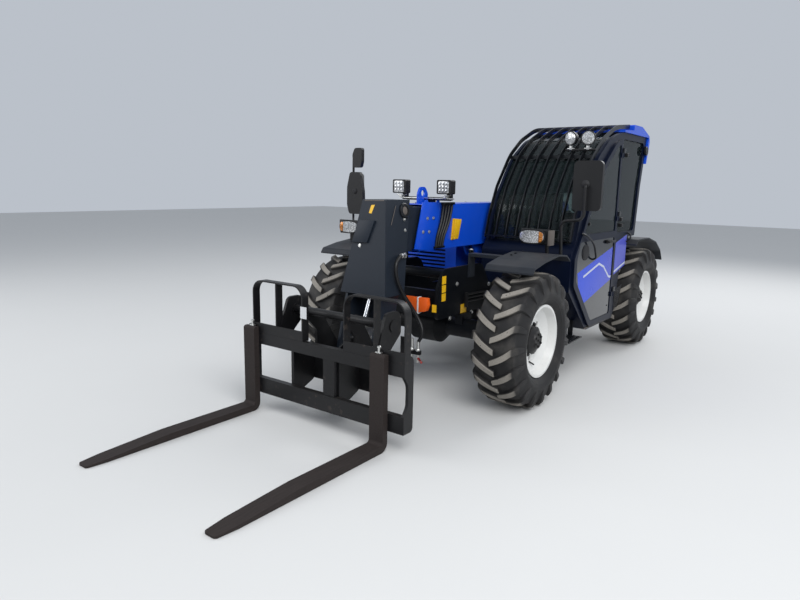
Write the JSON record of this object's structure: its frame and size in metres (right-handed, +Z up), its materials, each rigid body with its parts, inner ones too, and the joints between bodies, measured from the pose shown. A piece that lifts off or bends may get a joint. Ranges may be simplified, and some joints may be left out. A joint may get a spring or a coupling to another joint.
{
  "type": "telehandler",
  "caption": "Compact rough-terrain telehandler with a side cab, a telescopic boom, pallet forks on a guarded carriage and all-wheel steering.",
  "frame": {"origin": "on the ground under the middle of the overall box, forks down and wheels straight", "axes": "+Z up, -Y towards the forks, +X towards the vehicle's left, where the cab is"},
  "size_m": [2.356, 5.967, 2.288],
  "materials": {
    "tyre": "dusty black rubber",
    "rim_white": "satin off-white paint, dusty",
    "hub_black": "satin black paint",
    "chassis_black": "satin black paint, worn",
    "boom_blue": "gloss bright blue paint",
    "cab_navy": "gloss navy paint",
    "roof_blue": "gloss bright blue paint",
    "hood_paint": "gloss bright blue paint",
    "guard_black": "satin black paint",
    "door_panel": "gloss navy with a brighter band",
    "glass": "clear, faint green",
    "fender_plastic": "textured dark grey",
    "seat_fabric": "black vinyl",
    "dash_plastic": "black grained",
    "lamp": "clear lens in a black case",
    "mirror_case": "black case",
    "head_grey": "charcoal paint, worn",
    "barrel_black": "satin black paint",
    "rod_chrome": "hard chrome",
    "fork_steel": "worn and lightly rusted",
    "cast_weight": "satin black paint",
    "engine_iron": "painted block"
  },
  "bodies": {
    "chassis": {"frame": "chassis_black", "axles": "chassis_black", "counterweight": "cast_weight", "cab_frame": "cab_navy", "cab_glass": "glass", "cab_roof": "roof_blue", "roof_guard": "guard_black", "door_hinges": "guard_black", "engine_bay": "chassis_black", "fenders_front": "fender_plastic", "fenders_rear": "fender_plastic", "seat": "seat_fabric", "dashboard": "dash_plastic", "steering_wheel": "dash_plastic", "headlamps": "lamp", "mirrors": "mirror_case", "engine": "engine_iron"},
    "knuckle_front_left": {"knuckle_front_left": "chassis_black"},
    "wheel_front_left": {"tyre_front_left": "tyre", "rim_front_left": "rim_white", "hub_front_left": "hub_black"},
    "knuckle_front_right": {"knuckle_front_right": "chassis_black"},
    "wheel_front_right": {"tyre_front_right": "tyre", "rim_front_right": "rim_white", "hub_front_right": "hub_black"},
    "knuckle_rear_left": {"knuckle_rear_left": "chassis_black"},
    "wheel_rear_left": {"tyre_rear_left": "tyre", "rim_rear_left": "rim_white", "hub_rear_left": "hub_black"},
    "knuckle_rear_right": {"knuckle_rear_right": "chassis_black"},
    "wheel_rear_right": {"tyre_rear_right": "tyre", "rim_rear_right": "rim_white", "hub_rear_right": "hub_black"},
    "door": {"door_frame": "cab_navy", "door_glass": "glass", "door_panel": "door_panel"},
    "outer_boom": {"boom_outer": "boom_blue", "boom_lamps": "lamp"},
    "inner_boom": {"boom_inner": "head_grey", "boom_head": "head_grey"},
    "carriage": {"coupler": "chassis_black", "carriage": "chassis_black", "forks": "fork_steel"},
    "lift_barrel": {"lift_barrel": "barrel_black"},
    "lift_rod": {"lift_rod": "rod_chrome"},
    "tilt_barrel": {"tilt_barrel": "barrel_black"},
    "tilt_rod": {"tilt_rod": "rod_chrome"},
    "hood": {"hood": "hood_paint"},
    "steer_rod_front": {"steer_rod_front": "rod_chrome"},
    "steer_rod_rear": {"steer_rod_rear": "rod_chrome"}
  },
  "joints": [
    {"name": "front_left_steer", "type": "hinge", "parent": "chassis", "child": "knuckle_front_left", "pos_m": [0.66, -0.282, 0.522], "axis": [0, 0, 1], "range_deg": [-35, 35]},
    {"name": "front_left_spin", "type": "hinge", "parent": "knuckle_front_left", "child": "wheel_front_left", "pos_m": [0.855, -0.282, 0.522], "axis": [1, 0, 0], "continuous": true},
    {"name": "front_right_steer", "type": "hinge", "parent": "chassis", "child": "knuckle_front_right", "pos_m": [-0.66, -0.282, 0.522], "axis": [0, 0, 1], "range_deg": [-35, 35]},
    {"name": "front_right_spin", "type": "hinge", "parent": "knuckle_front_right", "child": "wheel_front_right", "pos_m": [-0.855, -0.282, 0.522], "axis": [1, 0, 0], "continuous": true},
    {"name": "rear_left_steer", "type": "hinge", "parent": "chassis", "child": "knuckle_rear_left", "pos_m": [0.66, 2.358, 0.522], "axis": [0, 0, 1], "range_deg": [-35, 35]},
    {"name": "rear_left_spin", "type": "hinge", "parent": "knuckle_rear_left", "child": "wheel_rear_left", "pos_m": [0.855, 2.358, 0.522], "axis": [1, 0, 0], "continuous": true},
    {"name": "rear_right_steer", "type": "hinge", "parent": "chassis", "child": "knuckle_rear_right", "pos_m": [-0.66, 2.358, 0.522], "axis": [0, 0, 1], "range_deg": [-35, 35]},
    {"name": "rear_right_spin", "type": "hinge", "parent": "knuckle_rear_right", "child": "wheel_rear_right", "pos_m": [-0.855, 2.358, 0.522], "axis": [1, 0, 0], "continuous": true},
    {"name": "door_hinge", "type": "hinge", "parent": "chassis", "child": "door", "pos_m": [0.9625, 1.46, 1.37], "axis": [0, 0, 1], "range_deg": [0, 95]},
    {"name": "boom_lift", "type": "hinge", "parent": "chassis", "child": "outer_boom", "pos_m": [-0.065, 2.398, 1.3], "axis": [-1, 0, 0], "range_deg": [0, 68]},
    {"name": "boom_telescope", "type": "slide", "parent": "outer_boom", "child": "inner_boom", "axis": [0, -1, 0], "range_m": [0, 2.1]},
    {"name": "carriage_tilt", "type": "hinge", "parent": "inner_boom", "child": "carriage", "pos_m": [-0.065, -1.162, 0.32], "axis": [1, 0, 0], "range_deg": [-14, 100]},
    {"name": "lift_cylinder_swing", "type": "hinge", "parent": "chassis", "child": "lift_barrel", "pos_m": [-0.065, 2.018, 0.78], "axis": [-1, 0, 0], "range_deg": [-1, 67]},
    {"name": "lift_cylinder_stroke", "type": "slide", "parent": "lift_barrel", "child": "lift_rod", "axis": [0, -0.9806, 0.1961], "range_m": [0, 0.72]},
    {"name": "tilt_cylinder_swing", "type": "hinge", "parent": "inner_boom", "child": "tilt_barrel", "pos_m": [-0.065, -0.792, 1.38], "axis": [1, 0, 0], "range_deg": [-7, 2]},
    {"name": "tilt_cylinder_stroke", "type": "slide", "parent": "tilt_barrel", "child": "tilt_rod", "axis": [0, -0.377, -0.9262], "range_m": [-0.05, 0.3]},
    {"name": "hood_hinge", "type": "hinge", "parent": "chassis", "child": "hood", "pos_m": [-0.275, 2.76, 1.15], "axis": [-1, 0, 0], "range_deg": [0, 50]},
    {"name": "front_steer_stroke", "type": "slide", "parent": "chassis", "child": "steer_rod_front", "axis": [1, 0, 0], "range_m": [-0.09, 0.09]},
    {"name": "rear_steer_stroke", "type": "slide", "parent": "chassis", "child": "steer_rod_rear", "axis": [1, 0, 0], "range_m": [-0.09, 0.09]}
  ],
  "couplings": [
    {"joint": "front_right_steer", "follows": "front_left_steer", "ratio": 1},
    {"joint": "rear_right_steer", "follows": "rear_left_steer", "ratio": 1},
    {"joint": "lift_cylinder_swing", "follows": "boom_lift", "ratio": 0.957},
    {"joint": "lift_cylinder_stroke", "follows": "boom_lift", "m_per_rad": 0.6016},
    {"joint": "tilt_cylinder_swing", "follows": "carriage_tilt", "ratio": -0.058},
    {"joint": "tilt_cylinder_stroke", "follows": "carriage_tilt", "m_per_rad": 0.1653},
    {"joint": "front_steer_stroke", "follows": "front_left_steer", "m_per_rad": -0.1267},
    {"joint": "rear_steer_stroke", "follows": "rear_left_steer", "m_per_rad": -0.1267}
  ]
}
